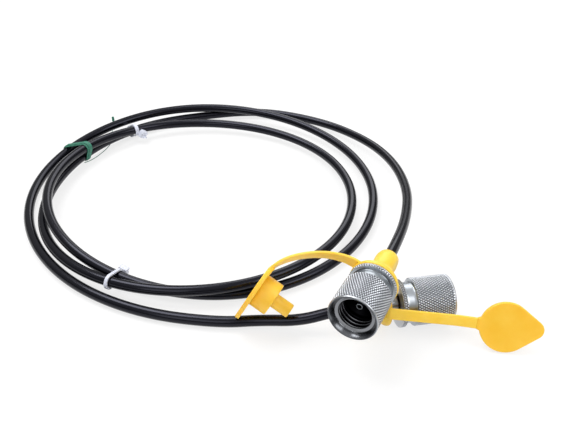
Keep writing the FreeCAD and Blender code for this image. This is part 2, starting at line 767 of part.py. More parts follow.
# Twist tie: a paper-covered ribbon round all three turns. Its bare wire end runs inside the coil along
# the ground and under the hose, and stands up behind it with a scrap of the paper on its tip.
RIBBON_BEARING = 154.5
first, second, third = strands_at(RIBBON_BEARING, (0, 1, 2))
ribbon = band([first, third, second], size("ribbon_clearance"), size("ribbon_thickness"), size("ribbon_width"))
keep("twist_tie_ribbon", shaped("twist_tie_ribbon", ribbon)).Placement = across_coil(RIBBON_BEARING)
WIRE_REST = size("twist_wire_radius") + 0.05
WIRE_CORNERS = [
    Vector(-163.2, 134.2, 1.3),
    Vector(-160.9, 138.0, WIRE_REST),
    Vector(-157.6, 143.6, WIRE_REST),
    Vector(-154.3, 152.6, WIRE_REST),
    Vector(-152.9, 161.5, WIRE_REST),
    Vector(-154.6, 169.5, WIRE_REST),
    Vector(-157.2, 176.6, WIRE_REST),
    Vector(-157.6, 177.2, 6.5),
]
wire_solid = bent_tube(WIRE_CORNERS, size("twist_wire_radius"))[0]
tip = Part.makeBox(size("twist_end_width"), size("twist_end_thickness"), size("twist_end_length"),
                   Vector(-size("twist_end_width") / 2, -size("twist_end_thickness") / 2, -OVERSHOOT))
tip.Placement = Placement(WIRE_CORNERS[-1], Rotation())
keep("twist_tie_wire", shaped("twist_tie_wire", wire_solid.fuse(tip).removeSplitter()))

# Check every feature and write each sub-part
document.recompute()
for item in document.Objects:
    broken = [state for state in item.State if state in ("Invalid", "Error")]
    if broken:
        raise RuntimeError(f"{item.Label}: {broken}")
os.makedirs("parts", exist_ok=True)
for name, item in sorted(nodes.items()):
    shape = item.Shape
    if shape.isNull() or not shape.isValid() or not shape.Solids:
        raise RuntimeError(f"{name}: its solid isn't sound")
    shape.exportStep(f"parts/{name}.step")
    box = shape.optimalBoundingBox(False, False)
    print(f"{name:20s} {len(shape.Solids)} solid, {shape.Volume:9.1f} mm3, "
          f"x {box.XMin:7.1f}..{box.XMax:7.1f} y {box.YMin:7.1f}..{box.YMax:7.1f} z {box.ZMin:6.2f}..{box.ZMax:6.2f}")
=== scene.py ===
import bpy
import math
import numpy as np
from mathutils import Matrix, Vector


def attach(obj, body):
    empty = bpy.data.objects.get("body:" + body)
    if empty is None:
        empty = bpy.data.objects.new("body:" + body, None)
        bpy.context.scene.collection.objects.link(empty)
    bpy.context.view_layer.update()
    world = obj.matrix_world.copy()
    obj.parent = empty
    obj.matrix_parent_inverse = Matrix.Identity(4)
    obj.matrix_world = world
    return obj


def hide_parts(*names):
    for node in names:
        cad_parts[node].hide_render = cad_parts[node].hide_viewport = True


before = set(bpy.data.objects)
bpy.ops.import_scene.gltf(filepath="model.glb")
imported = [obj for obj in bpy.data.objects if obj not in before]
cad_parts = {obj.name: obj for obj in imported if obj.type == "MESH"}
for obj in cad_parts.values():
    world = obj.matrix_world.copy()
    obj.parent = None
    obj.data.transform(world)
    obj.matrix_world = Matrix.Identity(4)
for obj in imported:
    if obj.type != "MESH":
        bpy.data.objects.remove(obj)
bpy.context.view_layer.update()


# Camera
# It stands where the photograph was taken from: 216 mm above the ground, looking 36 degrees down and
# turned 1.5 degrees about its own line of sight, with a lens of 697 of the frame's 570 pixels.
camera_place = (-0.0445, -0.2165, 0.216)
frame_width, focal_length = 570, 697
pitch, roll = math.radians(36.0), math.radians(1.5)
camera_data = bpy.data.cameras.new("camera")
camera_data.sensor_fit = "HORIZONTAL"
camera_data.sensor_width = 36.0
camera_data.lens = focal_length / frame_width * camera_data.sensor_width
camera_data.clip_start = 0.01
camera = bpy.data.objects.new("camera", camera_data)
bpy.context.scene.collection.objects.link(camera)
bpy.context.scene.camera = camera
ahead = Vector((0, math.cos(pitch), -math.sin(pitch)))
level_up = Vector((1, 0, 0)).cross(ahead)
right = Vector((1, 0, 0)) * math.cos(roll) + level_up * math.sin(roll)
upward = right.cross(ahead)
camera.matrix_world = Matrix((
    (right.x, upward.x, -ahead.x, camera_place[0]),
    (right.y, upward.y, -ahead.y, camera_place[1]),
    (right.z, upward.z, -ahead.z, camera_place[2]),
    (0, 0, 0, 1),
))


# Hose
# One length of extruded black polyamide, 5 mm outside, with each end pressed on a coupling's barb. From
# inside collar A it drops along the right side to the ground, lies in two and a half turns and rises
# into collar B. The couplings' axes and the coil's sizes are those of the part's source, in millimetres.
millimetre = 0.001
hose_radius = 2.5
collar_front = {"a": (-7.64, 1.18, 28.06), "b": (0.32, 7.99, 10.5)}
collar_depth = {"a": 24.1, "b": 28.3}
coupling_bearing = {"a": (24.73, -2.05), "b": (258.0, 0.0)}


def frame_matrix(origin, x_axis, y_axis):
    """Matrix of a frame from its origin, its X axis and the rough direction of its Y axis."""
    x = np.array(x_axis, float) / np.linalg.norm(x_axis)
    y = np.array(y_axis, float) - x * np.dot(y_axis, x)
    y /= np.linalg.norm(y)
    place = np.eye(4)
    place[:3, 0], place[:3, 1], place[:3, 2], place[:3, 3] = x, y, np.cross(x, y), origin
    return place


# A coupling's X axis runs from its mouth to its rear, along its bearing and rise.
rearward, coupling = {}, {}
for end, (azimuth, rise) in coupling_bearing.items():
    azimuth, rise = math.radians(azimuth), math.radians(rise)
    rearward[end] = np.array([
        math.sin(azimuth) * math.cos(rise), math.cos(azimuth) * math.cos(rise), math.sin(rise)
    ])
    mouth = np.array(collar_front[end]) - rearward[end] * collar_depth[end]
    coupling[end] = frame_matrix(mouth, rearward[end], np.cross((0, 0, 1), rearward[end]))


def on_axis(end, depth):
    """Point on a coupling's axis this deep behind its mouth."""
    return coupling[end][:3, 3] + rearward[end] * depth


coil_centre = np.array([-89.5, 101.5, 0.0])
coil_start_bearing = 100.0
coil_height = 3.6
# Radius, height and the radius's slope at each quarter turn.
quarter_turns = np.array([
    (90.0, 0.0, -8.1),
    (83.0, 1.6, 10.1),
    (84.6, 4.6, -3.3),
    (80.9, 1.1, 0.2),
    (77.2, 2.4, 8.5),
    (80.8, 9.1, 4.0),
    (82.5, -1.0, 11.7),
    (93.9, 0.3, 5.3),
    (91.8, 5.8, 1.7),
    (92.0, -0.8, -5.0),
    (99.8, -0.6, 17.0),
])


def coil_line(quarters, spread=1.0):
    """Points of the coil's line so many quarter turns from its start. Between two quarter turns the
    radius is the cubic that has their radii and slopes, and the height goes over in an s-curve. The
    spread widens the radius."""
    quarters = np.asarray(quarters, float)
    index = np.minimum(quarters.astype(int), len(quarter_turns) - 2)
    share = quarters - index
    this, following = quarter_turns[index].T, quarter_turns[index + 1].T
    passed = 3 * share ** 2 - 2 * share ** 3
    radius = (
        (1 - passed) * this[0]
        + passed * following[0]
        + (share ** 3 - 2 * share ** 2 + share) * math.pi / 2 * this[2]
        + (share ** 3 - share ** 2) * math.pi / 2 * following[2]
    )
    height = coil_height + this[1] + (following[1] - this[1]) * passed
    bearing = np.radians(coil_start_bearing + 90 * quarters)
    flat = np.stack([np.cos(bearing) * radius * spread, np.sin(bearing) * radius * spread, height], axis=-1)
    return coil_centre + flat


# The hose's control points lie outside its line by as much as the curve cuts the corners between them.
points_per_quarter = 5
outside_curve = 1 / math.cos(math.radians(45 / points_per_quarter))
lead_a = [
    on_axis("a", 38.2),
    on_axis("a", 50.1),
    (13.8, 56.6, 21.6),
    (19.8, 92.4, 16.0),
    (16.4, 129.7, 11.0),
    (3.0, 162.1, 6.6),
    (-23.7, 189.4, 3.8),
    (-64.5, 202.6, 3.6),
]
lead_b = [
    (-54.0, 3.6, 3.6),
    (-36.8, 1.6, 5.8),
    on_axis("b", 50.9),
    on_axis("b", 42.0),
]
coil_steps = np.arange(points_per_quarter * (len(quarter_turns) - 1) + 1)
route = np.vstack([lead_a, coil_line(coil_steps / points_per_quarter, outside_curve), lead_b])
hose_curve = bpy.data.curves.new("hose", "CURVE")
hose_curve.dimensions = "3D"
hose_curve.bevel_depth = hose_radius * millimetre
hose_curve.bevel_resolution = 8
hose_curve.resolution_u = 8
hose_curve.use_fill_caps = True
spline = hose_curve.splines.new("NURBS")
spline.points.add(len(route) - 1)
spline.points.foreach_set("co", np.column_stack([route * millimetre, np.ones(len(route))]).ravel())
spline.order_u = 3
spline.use_endpoint_u = True
hose = bpy.data.objects.new("hose", hose_curve)
bpy.context.scene.collection.objects.link(hose)


def srgb(text):
    """Linear colour with alpha from an sRGB hex string."""
    parts = [int(text[i:i + 2], 16) / 255 for i in (0, 2, 4)]
    return [c / 12.92 if c <= 0.04045 else ((c + 0.055) / 1.055) ** 2.4 for c in parts] + [1.0]


def add_node(owner, kind, inputs=None, feeds=None, **settings):
    """Node of a kind in a material or world, with settings, with inputs set to a value or linked to a
    socket, and with outputs linked on to the sockets that they feed."""
    tree = owner.node_tree
    node = tree.nodes.new(kind)
    for key, value in settings.items():
        setattr(node, key, value)
    for key, value in (inputs or {}).items():
        if isinstance(value, bpy.types.NodeSocket):
            tree.links.new(value, node.inputs[key])
        else:
            node.inputs[key].default_value = value
    for key, socket in (feeds or {}).items():
        tree.links.new(node.outputs[key], socket)
    return node


def new_material(name, **values):
    """Material with a principled shader whose sockets are set, and that shader."""
    material = bpy.data.materials.new(name)
    material.use_nodes = True
    shader = material.node_tree.nodes["Principled BSDF"]
    for key, value in values.items():
        shader.inputs[key.replace("_", " ")].default_value = value
    return material, shader


def uneven_skin(
    material, shader, patch, detail, smooth, dull, tones=None, tone_end=0.75, grain=None, grain_detail=2.0,
    strength=0.1, height=0.1,
):
    """Skin whose gloss drifts between a smooth and a dull value from patch to patch, and its colour
    between two tones, with fine grain. The sizes of a patch and a grain and the grain's height are in
    millimetres, and a texture's scale is one metre over its size. Gives the drifting colour."""
    place_on = add_node(material, "ShaderNodeTexCoord").outputs["Object"]
    noise = {"Vector": place_on, "Scale": 1 / (patch * millimetre), "Detail": detail}
    patches = add_node(material, "ShaderNodeTexNoise", noise).outputs["Fac"]
    limits = {"Value": patches, "To Min": smooth, "To Max": dull}
    add_node(material, "ShaderNodeMapRange", limits, {"Result": shader.inputs["Roughness"]})
    if grain:
        noise = {"Vector": place_on, "Scale": 1 / (grain * millimetre), "Detail": grain_detail}
        grains = add_node(material, "ShaderNodeTexNoise", noise).outputs["Fac"]
        relief = {"Height": grains, "Strength": strength, "Distance": height * millimetre}
        add_node(material, "ShaderNodeBump", relief, {"Normal": shader.inputs["Normal"]})
    if tones:
        coloured = {"Color": shader.inputs["Base Color"]}
        ramp = add_node(material, "ShaderNodeValToRGB", {"Fac": patches}, coloured)
        for element, position, tone in zip(ramp.color_ramp.elements, (0.3, tone_end), tones):
            element.position, element.color = position, srgb(tone)
        return ramp.outputs["Color"]


# Black polyamide from the die: near black, with a narrow cool sheen along its top and faint grain.
hose_material, shader = new_material(
    "black_polyamide_hose", Base_Color=srgb("050509"), Specular_IOR_Level=0.3, Specular_Tint=srgb("E6E8FF")
)
uneven_skin(hose_material, shader, 16.667, 2.0, smooth=0.14, dull=0.24, grain=1.111, grain_detail=3.0)
hose.data.materials.append(hose_material)
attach(hose, "hose")
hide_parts("hose_lead_a", "hose_coil", "hose_lead_b")


# Coupling nuts
# Swivel nuts turned from steel and nickel plated: a diamond knurl rolled on the long band and on the
# rear band, a polished groove between them, a turned recess in the mouth and a 2 mm pitch thread. Each
# is held on its core by a wire ring and turns freely. Depths run from the mouth, in millimetres.
nut_radius = 10.5
groove_radius = 8.9
minor_radius = 6.92
shank_hole = 4.6
band_start, band_end = 0.75, 17.1
rear_start, rear_end = 21.7, 23.6
ridge_count, ridge_depth, ridge_lean = 58, 0.5, math.radians(30)
ridge_sharpness = 1.35
thread_start, thread_end = 3.1, 9.9
thread_pitch, thread_depth, thread_fade = 2.0, 1.0, 0.6


def grid_faces(rows, columns, wrap_rows=False, wrap_columns=False, start=0):
    """Quads between the points of a grid held row by row."""
    r = np.arange(rows if wrap_rows else rows - 1)
    c = np.arange(columns if wrap_columns else columns - 1)
    i, j = np.meshgrid(r, c, indexing="ij")
    i2, j2 = (i + 1) % rows, (j + 1) % columns
    quads = np.stack([i * columns + j, i * columns + j2, i2 * columns + j2, i2 * columns + j], axis=-1)
    return quads.reshape(-1, 4) + start


def turned_surface(outline, columns=96, relief=None, closed=True):
    """Points and faces of an outline of (depth, radius) turned about X. Each point's radius gains what
    relief gives for its depth, its radius and its bearing."""
    outline = np.array(outline, float)
    bearing = np.linspace(0, 2 * math.pi, columns, endpoint=False)
    depth = np.repeat(outline[:, :1], columns, axis=1)
    radius = np.repeat(outline[:, 1:], columns, axis=1)
    if relief is not None:
        radius = radius + relief(depth, radius, np.repeat(bearing[None, :], len(outline), axis=0))
    points = np.stack([depth, radius * np.cos(bearing), radius * np.sin(bearing)], axis=-1).reshape(-1, 3)
    return points, grid_faces(len(outline), columns, wrap_rows=closed, wrap_columns=True)


def placed(points, place):
    """Points of a local frame, in millimetres, moved to the part's frame, in metres."""
    return (np.asarray(points, float) @ place[:3, :3].T + place[:3, 3]) * millimetre


def mesh_piece(name, points, faces, material, body):
    """Smooth mesh piece in metres from points and faces, with its material, riding on a CAD body."""
    mesh = bpy.data.meshes.new(name)
    mesh.from_pydata(points.tolist(), [], faces.tolist() if isinstance(faces, np.ndarray) else faces)
    mesh.update()
    mesh.polygons.foreach_set("use_smooth", np.ones(len(mesh.polygons), dtype=bool))
    piece = bpy.data.objects.new(name, mesh)
    bpy.context.scene.collection.objects.link(piece)
    piece.data.materials.append(material)
    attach(piece, body)
    return piece


def steel(name, dark, pale, smooth, dull, pit_shade=None):
    """Turned metal whose tone and gloss drift a little, with fine scratches. If a tone for the pits is
    given, points with a low crest value have it as painted shade."""
    material, shader = new_material(name, Metallic=1.0)
    colour = uneven_skin(
        material, shader, 3.846, 4.0, smooth, dull, tones=(dark, pale), tone_end=0.7,
        grain=0.5556, strength=0.06, height=0.05,
    )
    # A tone given for the pits is painted shade.
    if pit_shade:
        crest = add_node(material, "ShaderNodeAttribute", attribute_name="crest").outputs["Fac"]
        tones = {"Factor": crest, "A": srgb(pit_shade), "B": colour}
        add_node(material, "ShaderNodeMix", tones, {"Result": shader.inputs["Base Color"]}, data_type="RGBA")
    return material


# Nickel plate, bluish grey. The knurl's crests keep the plate's tone and its pits are painted darker as
# shade, the groove is polished, the walls behind a step and inside the mouth are painted dark as shade, and
# the thread is painted near black as shade between its crests and deep in the bore.
knurl_material = steel("knurled_nickel_plate", "BABDC3", "C8CBD0", 0.28, 0.36, pit_shade="54575C")
polished_plate = steel("polished_nickel_plate", "A6ABB1", "B2B8BD", 0.3, 0.36)
# The dark corner and the walls and recess inside the mouth are painted darker than the plate as shade: the
# recess a mid grey, the walls darker still.
wall_material = steel("steel_wall_painted_shade", "66686C", "727478", 0.18, 0.25)
countersink_material = steel("steel_countersink_painted_shade", "7C7E82", "8A8C90", 0.18, 0.26)
bore_material = steel("steel_bore_painted_shade", "8A8C90", "96989C", 0.22, 0.3, pit_shade="0A0A0C")


def knurl(depth, radius, bearing):
    """Radius change of the diamond knurl: the lower of two crossed triangle waves that lean either way
    from the axis, with their tops cut flat, faded out at the ends of the two bands."""
    twist = math.tan(ridge_lean) / nut_radius
    rows = [
        1 - np.abs(((ridge_count * (bearing + side * twist * depth) / (2 * math.pi)) % 1) * 2 - 1)
        for side in (-1, 1)
    ]
    pyramid = (np.minimum(*rows) * ridge_sharpness).clip(0, 1)
    front = np.minimum((depth - band_start).clip(0, 0.3) / 0.3, (band_end - depth).clip(0, 0.1) / 0.1)
    rear = np.minimum((depth - rear_start).clip(0, 0.1), (rear_end - depth).clip(0, 0.1)) / 0.1
    on_band = radius > nut_radius - 0.2
    return np.where(on_band, -ridge_depth * (1 - pyramid) * np.maximum(front, rear), 0.0)


def thread(depth, radius, bearing):
    """Radius change of the thread: a trapezium wave that moves on by one pitch in a turn, faded out at
    both ends of the minor bore."""
    turn = ((depth - 1.5) / thread_pitch - bearing / (2 * math.pi)) % 1
    groove = thread_depth * (np.abs(turn * 2 - 1) * 1.5 - 0.25).clip(0, 1)
    fade = np.minimum(depth - thread_start, thread_end - depth).clip(0, thread_fade) / thread_fade
    on_thread = (np.abs(radius - minor_radius) < 0.02) & (depth < thread_end)
    return np.where(on_thread, groove * fade, 0.0)


def finely(start, end, step):
    """Points along a straight side of an outline, close enough for its relief."""
    start, end = np.array(start, float), np.array(end, float)
    count = max(2, int(np.linalg.norm(end - start) / step) + 1)
    return [tuple(start + (end - start) * share) for share in np.linspace(0, 1, count)]


# Outlines from the rim: outside back to the hole for the shank, and inside forward from there.
nut_outside = [
    (0.1, 9.72), (0.0, 9.82), (0.0, 10.0), (0.08, 10.15), (0.4, 10.42), (0.6, 10.49),
    *finely((band_start, nut_radius), (17.0, nut_radius), 0.118),
    (17.06, 10.3), (band_end, 10.1), (band_end, 9.3), (17.2, 9.0), (17.45, groove_radius),
    (18.5, groove_radius), (20.3, groove_radius), (21.35, groove_radius),
    (21.55, 9.0), (21.68, 9.3), (rear_start, 10.1), (21.74, 10.4),
    *finely((21.8, nut_radius), (23.5, nut_radius), 0.1),
    (rear_end, 10.4), (23.68, 10.2), (23.7, 10.0), (23.7, 7.0), (23.7, 4.75), (rear_end, shank_hole),
]
nut_inside = [
    (rear_end, shank_hole), (19.4, shank_hole), (19.4, minor_radius), (12.3, minor_radius),
    (12.3, 7.7), (9.95, 7.7),
    *finely((thread_end, minor_radius), (thread_start, minor_radius), 0.1),
    (3.0, 7.15), (3.16, 7.42), (2.86, 7.55), (3.02, 7.84), (2.76, 7.96), (2.86, 8.2), (2.68, 8.36),
    (2.5, 8.46), (2.3, 8.56), (1.9, 8.73), (1.2, 9.06), (0.6, 9.38), (0.3, 9.58), (0.1, 9.72),
]


def finish_faces(piece, crest, *finishes):
    """Give each point its crest value, from 0 where painted shade goes to 1 where it does not, and give the
    faces for which a finish's test holds its material."""
    piece.data.attributes.new("crest", "FLOAT", "POINT").data.foreach_set("value", crest.astype(np.float32))
    numbers = np.zeros(len(piece.data.polygons), np.int32)
    for number, (material, test) in enumerate(finishes, 1):
        piece.data.materials.append(material)
        numbers[test] = number
    piece.data.polygons.foreach_set("material_index", numbers)


def within(depths, span):
    """Which depths lie between a span's two ends."""
    return (depths > span[0]) & (depths < span[1])


# Spans of depth with a finish of their own: the polished groove with painted shade in the corner at its
# rear, and the recess in the mouth with the wall in front of it, both painted darker as shade. The crest
# value is 0 up to the knurl's pit radius and 1 a rise above it, or 1 on the thread's crests and 0 a rise
# above them and behind the length kept free of painted shade.
groove_span, shaded_corner_span = (17.05, 21.73), (21.3, 21.6)
recess_span, wall_span, recess_radius = (2.6, 3.2), (0.05, 2.6), 7.0
knurl_pit_radius, knurl_rise, rear_face = 10.02, 0.4, 23.55
thread_rise, unshaded_length = 0.25, 8.5
for end in "ab":
    body = f"nut_{end}"
    points, faces = turned_surface(nut_outside, columns=464, relief=knurl, closed=False)
    reach, depths = np.hypot(points[:, 1], points[:, 2]), points[faces[:, 0], 0]
    # Points in the knurl's pits get painted shade, and the rear face gets none.
    unshaded = ((reach - knurl_pit_radius) / knurl_rise).clip(0, 1) + (points[:, 0] > rear_face)
    points = placed(points, coupling[end])
    nut = mesh_piece(f"knurled_nut_{end}", points, faces, knurl_material, body)
    finish_faces(
        nut, unshaded,
        (polished_plate, within(depths, groove_span)),
        (wall_material, within(depths, shaded_corner_span)),
    )
    points, faces = turned_surface(nut_inside, columns=192, relief=thread, closed=False)
    reach, depths = np.hypot(points[:, 1], points[:, 2]), points[faces[:, 0], 0]
    # Near-black painted shade goes in the thread's roots and over the whole bore deeper than the first few
    # turns.
    unshaded = (1 - (reach - minor_radius) / thread_rise).clip(0, 1) * (points[:, 0] < unshaded_length)
    points = placed(points, coupling[end])
    bore = mesh_piece(f"threaded_mouth_{end}", points, faces, bore_material, body)
    finish_faces(
        bore, unshaded,
        (countersink_material, within(depths, recess_span) & (reach[faces[:, 0]] > recess_radius)),
        (wall_material, within(depths, wall_span)),
    )
    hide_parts(f"coupling_nut_{end}")


# Cores, pins and ferrules
# Turned steel core with the hose on its barb under a crimped ferrule, an O-ring in its nose and a hollow pin
# pressed into it. They keep their solids, but the pin gets a thin bright edge round a funnel painted near
# black as shade, which shows as a ring deep inside the mouth.

# The ferrule is plated like the nuts, the core and the wire ring are painted near black as shade, and the
# seal's rubber is matt.
plate_material = steel("nickel_plated_steel", "8E9197", "9C9FA4", 0.3, 0.38)
deep_shade_material = steel("steel_core_painted_shade", "0B0B0D", "121214", 0.4, 0.55)
seal_material, shader = new_material("nitrile_rubber", Base_Color=srgb("0E0E0F"))
uneven_skin(seal_material, shader, 1.25, 2.0, smooth=0.4, dull=0.6)
pin_outline = [
    (8.0, 1.04), (7.98, 1.12), (8.0, 1.22), (8.06, 1.29), (8.2, 1.3), (17.6, 1.3), (17.6, 0.5),
    (9.6, 0.5), (8.1, 1.0),
]
funnel_edge, funnel_radius = 8.03, 1.03
for end in "ab":
    for name, material in (
        ("coupling_core", deep_shade_material),
        ("crimp_ferrule", plate_material),
        ("retaining_ring", deep_shade_material),
        ("core_seal", seal_material),
    ):
        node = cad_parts[f"{name}_{end}"]
        node.data.materials.clear()
        node.data.materials.append(material)
    points, faces = turned_surface(pin_outline, columns=48)
    middle = points[faces].mean(axis=1)
    points = placed(points, coupling[end])
    pin = mesh_piece(f"funnel_pin_{end}", points, faces, polished_plate, "hose")
    # The funnel inside the pin gets the near-black painted shade.
    funnel = (middle[:, 0] > funnel_edge) & (np.hypot(middle[:, 1], middle[:, 2]) < funnel_radius)
    pin.data.materials.append(deep_shade_material)
    pin.data.polygons.foreach_set("material_index", funnel.astype(np.int32))
    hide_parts(f"probe_pin_{end}")


# Collars
# Soft polyethylene sleeve pushed over each ferrule: flange, flare, and a neck that swells to a rounded
# end, with a flat pressed in one side by the mould. It holds the strap of the dust cap.
flange_radius = {"a": 10.6, "b": 9.0}
sleeve_bore, neck_bore = 4.05, 2.9
neck_start, neck_flat = 6.5, 4.6


def polyethylene(name, deep, pale):
    """Soft yellow plastic between two tones. Light goes in by 1.4 mm in red and less in green and blue."""
    material, shader = new_material(
        name, Subsurface_Weight=0.3, Subsurface_Radius=(0.0014, 0.0008, 0.0002), Subsurface_Scale=1.0
    )
    uneven_skin(
        material, shader, 8.333, 3.0, smooth=0.34, dull=0.5, tones=(deep, pale), grain=0.7143, height=0.08
    )
    return material


# Moulded skin with a soft sheen. The caps are thicker than the straps; they and cap A's lug are painted a
# deeper yellow as shade.
yellow_material = polyethylene("yellow_polyethylene", "F0C636", "F6D050")
shaded_yellow = polyethylene("yellow_polyethylene_painted_shade", "F0BB26", "F6C840")


def eased(corners, radius, steps):
    """Closed outline with each corner rounded by a parabola through its two sides."""
    corners = np.array(corners, float)
    back, ahead = np.roll(corners, 1, axis=0) - corners, np.roll(corners, -1, axis=0) - corners
    back_length = np.linalg.norm(back, axis=1, keepdims=True)
    ahead_length = np.linalg.norm(ahead, axis=1, keepdims=True)
    cut = np.minimum(radius, 0.4 * np.minimum(back_length, ahead_length))
    start = (corners + back / back_length * cut)[:, None, :]
    finish = (corners + ahead / ahead_length * cut)[:, None, :]
    share = np.linspace(0, 1, steps)[None, :, None]
    rounded = (
        (1 - share) ** 2 * start + 2 * share * (1 - share) * corners[:, None, :] + share ** 2 * finish
    )
    return rounded.reshape(-1, 2)


for end in "ab":
    flange = flange_radius[end]
    collar_outline = eased([
        (0, sleeve_bore), (0, flange), (1.6, flange), (4.4, flange - 1.9), (7.2, 6.1), (10.0, 5.0),
        (13.0, 5.0), (17.0, 5.25), (20.0, 4.6), (20.0, neck_bore), (18.5, neck_bore), (18.5, sleeve_bore),
    ], 1.5, steps=6)
    points, faces = turned_surface(collar_outline)
    flat = neck_flat + 0.5 * np.exp(-((points[:, 0] - neck_start) / 1.5) ** 2)
    points[:, 1] = np.where(points[:, 0] > neck_start, np.maximum(points[:, 1], -flat), points[:, 1])
    points[:, 0] += collar_depth[end]
    points = placed(points, coupling[end])
    collar = mesh_piece(f"yellow_collar_{end}", points, faces, yellow_material, "hose")
    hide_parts(f"cap_collar_{end}")


# Dust caps
# Moulded in one with strap and collar: a disc with a pear-shaped tab to pull it by, a smooth plug that
# presses into the thread, and a hollow stem that slips over the pin. A cap's X axis runs along its plug
# from the middle of its disc, as in the part's source.
cap = {
    "a": frame_matrix((-55.7, 6.5, 19.4), (0.835, -0.342, -0.431), (-0.537, -0.337, -0.773)),
    "b": frame_matrix((49.3, -3.9, 10.45), (0.091, 0.905, -0.415), (0.991, -0.122, -0.048)),
}
disc_radius, tab_radius, tab_reach = 11.0, 4.0, 11.8
disc_half, disc_edge = 1.0, 0.45
lug_edge, lug_half_width = -11.9, 2.6
tab_turn = {"a": 0.0, "b": math.radians(-3.0)}
plug_radius, stem_radius, stem_bore = 7.4, 3.15, 1.6
bend_start, bend_rate = 8.0, 0.05


def plate_with_tab(turn):
    """Rounded plate in the outline of the disc, its tab and the straight lug opposite, turned by an
    angle. It is a grid of one outline drawn in by an inset at a height, row by row: flat top, quarter
    circle, quarter circle, flat bottom."""
    lean = math.acos((disc_radius - tab_radius) / tab_reach)
    round_disc, round_tab = np.linspace(lean, 2 * math.pi - lean, 90), np.linspace(-lean, lean, 40)
    outline = np.vstack([
        np.column_stack([disc_radius * np.cos(round_disc), disc_radius * np.sin(round_disc)]),
        np.column_stack([tab_reach + tab_radius * np.cos(round_tab), tab_radius * np.sin(round_tab)]),
    ])
    cosine, sine = math.cos(turn), math.sin(turn)
    outline = outline @ np.array([(cosine, sine), (-sine, cosine)])
    at_lug = (np.abs(outline[:, 1]) < lug_half_width) & (outline[:, 0] < 0)
    outline[:, 0] = np.where(at_lug, np.minimum(outline[:, 0], lug_edge), outline[:, 0])
    # The first and the last inset reach the middle, and the top sinks a little towards it.
    quarter = np.linspace(0, math.pi / 2, 5)
    drawn_in, dropped = disc_edge * (1 - np.sin(quarter)), disc_edge * (1 - np.cos(quarter))
    inset = np.hstack([20.0, 3.0, 1.2, disc_edge + 0.25, drawn_in, drawn_in[::-1], 1.2, 20.0])
    height = np.hstack([
        disc_half - 0.02, disc_half - 0.02, disc_half, disc_half, disc_half - dropped,
        dropped[::-1] - disc_half, -disc_half, -disc_half,
    ])
    centre = np.array([2.0, 0.0])
    towards = outline - centre
    length = np.linalg.norm(towards, axis=1, keepdims=True)
    kept = length - np.minimum(inset[:, None, None], length * 0.999)
    rows = centre + towards / length * kept
    depth = np.broadcast_to(-height[:, None, None], rows.shape[:2] + (1,))
    points = np.concatenate([depth, rows], axis=2).reshape(-1, 3)
    return points, grid_faces(len(inset), len(outline), wrap_columns=True)


plug_outline = [
    (0.9, 0.01), (0.9, 7.2), (1.2, plug_radius), (8.3, plug_radius), (8.7, 7.3), (8.87, 7.1), (8.9, 6.8),
    (8.9, 3.6), (9.0, 3.3), (9.3, stem_radius), (16.8, stem_radius), (17.1, 3.0), (17.2, 2.7), (17.2, 1.8),
    (17.0, stem_bore), (9.8, stem_bore), (9.7, 0.01),
]
for end in "ab":
    plate_points, plate_faces = plate_with_tab(tab_turn[end])
    if end == "a":
        # The strap pulls the edge of cap A back in a parabola.
        plate_points[:, 0] += bend_rate * np.maximum(-bend_start - plate_points[:, 1], 0.0) ** 2
    plug_points, plug_faces = turned_surface(plug_outline)
    points = placed(np.vstack([plate_points, plug_points]), cap[end])
    faces = np.vstack([plate_faces, plug_faces + len(plate_points)])
    lid = mesh_piece(f"yellow_cap_{end}", points, faces, shaded_yellow, f"cap_{end}")
    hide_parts(f"dust_cap_{end}")


# Straps
# Flat polyethylene band, 4.8 by 1.2 mm with rounded edges, from each cap to a tongue on its collar. The
# strap of cap B lies nearly straight, as its solid. The strap of cap A leaves the cap edge-on, arches
# and twists until it lies in its collar's flange.
strap_half_thickness, strap_half_width = 0.6, 2.4
strap_section = eased([
    (-strap_half_thickness, -strap_half_width), (strap_half_thickness, -strap_half_width),
    (strap_half_thickness, strap_half_width), (-strap_half_thickness, strap_half_width),
], 0.4, steps=4)


def directions_along(line):
    """Unit direction of a line at each of its points."""
    onward = np.gradient(line, axis=0)
    return onward / np.linalg.norm(onward, axis=1, keepdims=True)


def square_to(way, onward):
    """Unit vectors that are each way less its part along the line's direction."""
    way = way - onward * (way * onward).sum(axis=1, keepdims=True)
    return way / np.linalg.norm(way, axis=1, keepdims=True)


def band(line, way, spread):
    """Points and faces of a strap: its section carried along a line, its width in the given way and
    times the spread, with both ends closed."""
    onward = directions_along(line)
    broad = square_to(way, onward)
    normal = np.cross(broad, onward)
    across = strap_section[None, :, 1:] * np.reshape(spread, (-1, 1, 1))
    points = line[:, None, :] + normal[:, None, :] * strap_section[None, :, :1] + broad[:, None, :] * across
    count = len(strap_section)
    faces = grid_faces(len(line), count, wrap_columns=True).tolist()
    faces += [list(range(count))[::-1], list(range((len(line) - 1) * count, len(line) * count))]
    return points.reshape(-1, 3) * millimetre, faces


def arch(start, first, second, last, count):
    """Points of the cubic curve between two ends, drawn towards two places on the way."""
    start, first, second, last = (np.array(p, float) for p in (start, first, second, last))
    t = np.linspace(0, 1, count)[:, None]
    return (1 - t) ** 3 * start + 3 * (1 - t) ** 2 * t * first + 3 * (1 - t) * t * t * second + t ** 3 * last


arch_count, lug_end = 61, 10
line_a = arch(
    (-51.4, 9.2, 25.59), (-45.74, 12.75, 33.73), (-24.68, 14.09, 36.43), (-14.29, 7.9, 32.66), arch_count
)
